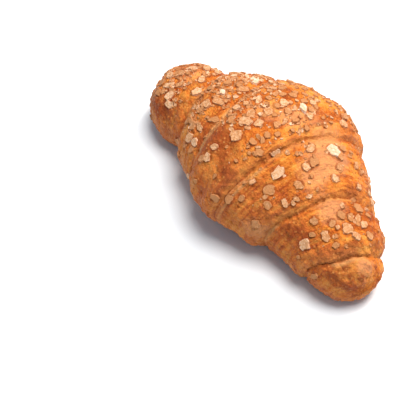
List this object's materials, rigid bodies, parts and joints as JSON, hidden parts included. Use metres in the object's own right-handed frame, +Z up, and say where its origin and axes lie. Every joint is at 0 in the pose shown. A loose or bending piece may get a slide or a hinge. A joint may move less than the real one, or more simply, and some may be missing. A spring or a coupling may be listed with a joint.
{
  "type": "croissant",
  "caption": "Baked crescent roll with overlapping wraps of dough, tapering to two rounded tips, its crown strewn with rolled oat flakes.",
  "frame": {"origin": "on the surface it rests on, under the middle of the bounding box", "axes": "+X along the length towards the tip that is nearer in the picture, +Y towards the back, which is the bulging side, +Z up"},
  "size_m": [0.1721, 0.0963, 0.0579],
  "materials": {
    "baked_crust": "baked, slightly glossy brown crust with pale oat flakes"
  },
  "bodies": {
    "root": {"croissant": "baked_crust"}
  },
  "joints": []
}
